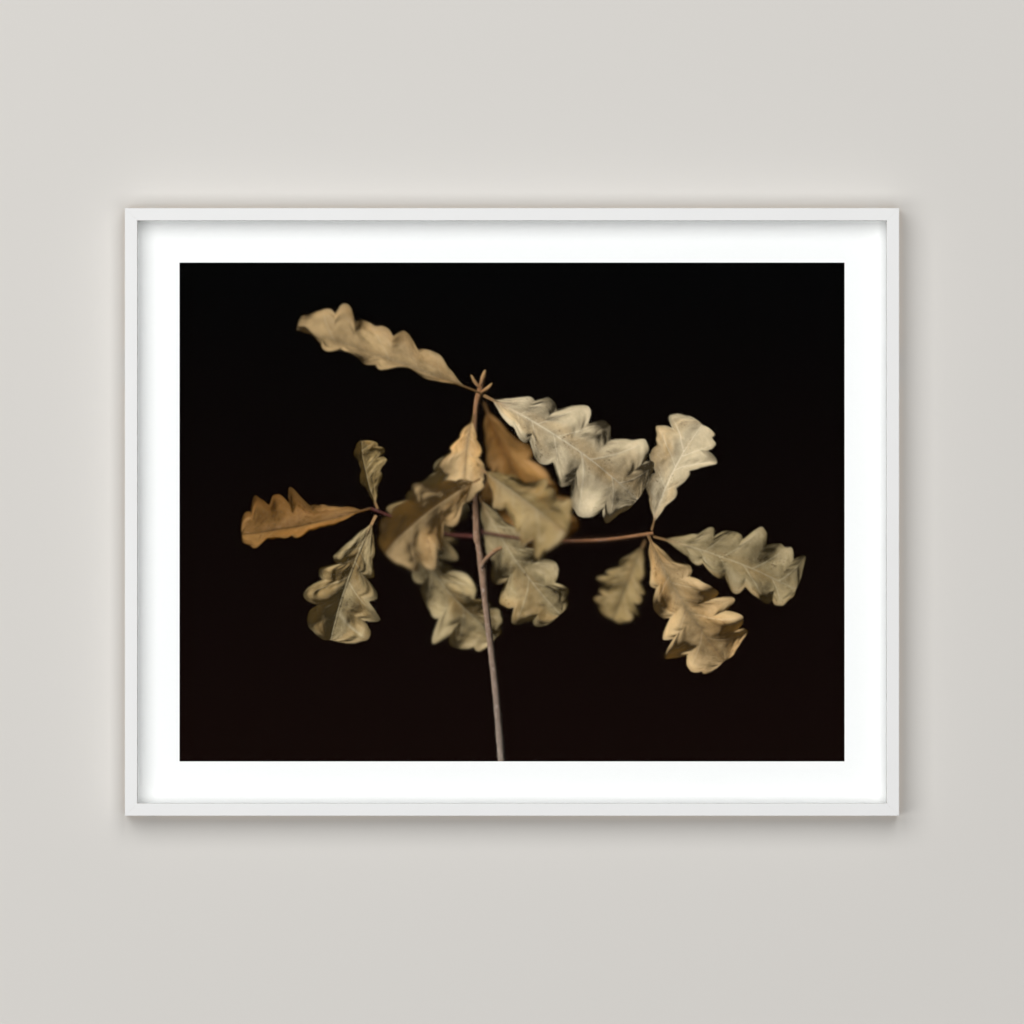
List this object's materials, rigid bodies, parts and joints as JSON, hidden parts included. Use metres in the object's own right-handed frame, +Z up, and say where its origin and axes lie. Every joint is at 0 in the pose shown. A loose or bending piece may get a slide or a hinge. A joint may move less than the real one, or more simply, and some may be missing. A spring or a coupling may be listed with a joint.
{
  "type": "framed print",
  "caption": "Landscape wall-hung box frame in white-painted wood, holding a bordered print of a dried oak sprig behind glass, with swinging hanger rings on its back.",
  "frame": {"origin": "the middle of the frame on the wall plane, which is the back face of the four bumper pads", "axes": "+X across the frame to the right as seen from the front, +Y into the wall, +Z up; the front faces -Y"},
  "size_m": [0.93, 0.04, 0.73],
  "materials": {
    "white_paint": "satin white paint on wood",
    "glass": "clear, polished",
    "spacer_card": "matt white wrap",
    "print_paper": "matt fine-art paper with a dark picture and a white border",
    "linen_tape": "matt gummed linen",
    "mount_board": "matt",
    "hardboard": "smooth pressed fibre board",
    "spring_steel": "blued spring steel",
    "zinc_steel": "bright zinc plate",
    "bumper_rubber": "matt pale rubber"
  },
  "bodies": {
    "root": {"backing_board": "hardboard", "bumper_bottom_left": "bumper_rubber", "bumper_bottom_right": "bumper_rubber", "bumper_top_left": "bumper_rubber", "bumper_top_right": "bumper_rubber", "glass": "glass", "hinge_tape_left": "linen_tape", "hinge_tape_right": "linen_tape", "mount_board": "mount_board", "nail_bottom_left": "spring_steel", "nail_bottom_right": "spring_steel", "nail_top_left": "spring_steel", "nail_top_right": "spring_steel", "print": "print_paper", "rail_bottom": "white_paint", "rail_left": "white_paint", "rail_right": "white_paint", "rail_top": "white_paint", "screw_left_1": "zinc_steel", "screw_left_2": "zinc_steel", "screw_right_1": "zinc_steel", "screw_right_2": "zinc_steel", "spacer_bottom": "spacer_card", "spacer_left": "spacer_card", "spacer_right": "spacer_card", "spacer_top": "spacer_card", "strap_left": "zinc_steel", "strap_right": "zinc_steel", "tab_bottom_1": "spring_steel", "tab_bottom_2": "spring_steel", "tab_bottom_3": "spring_steel", "tab_bottom_4": "spring_steel", "tab_left_1": "spring_steel", "tab_left_2": "spring_steel", "tab_left_3": "spring_steel", "tab_right_1": "spring_steel", "tab_right_2": "spring_steel", "tab_right_3": "spring_steel", "tab_top_1": "spring_steel", "tab_top_2": "spring_steel", "tab_top_3": "spring_steel", "tab_top_4": "spring_steel"},
    "ring_left": {"ring_left": "zinc_steel"},
    "ring_right": {"ring_right": "zinc_steel"}
  },
  "joints": [
    {"name": "ring_left_swing", "type": "hinge", "parent": "root", "child": "ring_left", "pos_m": [-0.4595, -0.00275, 0.185], "axis": [-1, 0, 0], "range_deg": [0, 180]},
    {"name": "ring_right_swing", "type": "hinge", "parent": "root", "child": "ring_right", "pos_m": [0.4595, -0.00275, 0.185], "axis": [-1, 0, 0], "range_deg": [0, 180]}
  ]
}
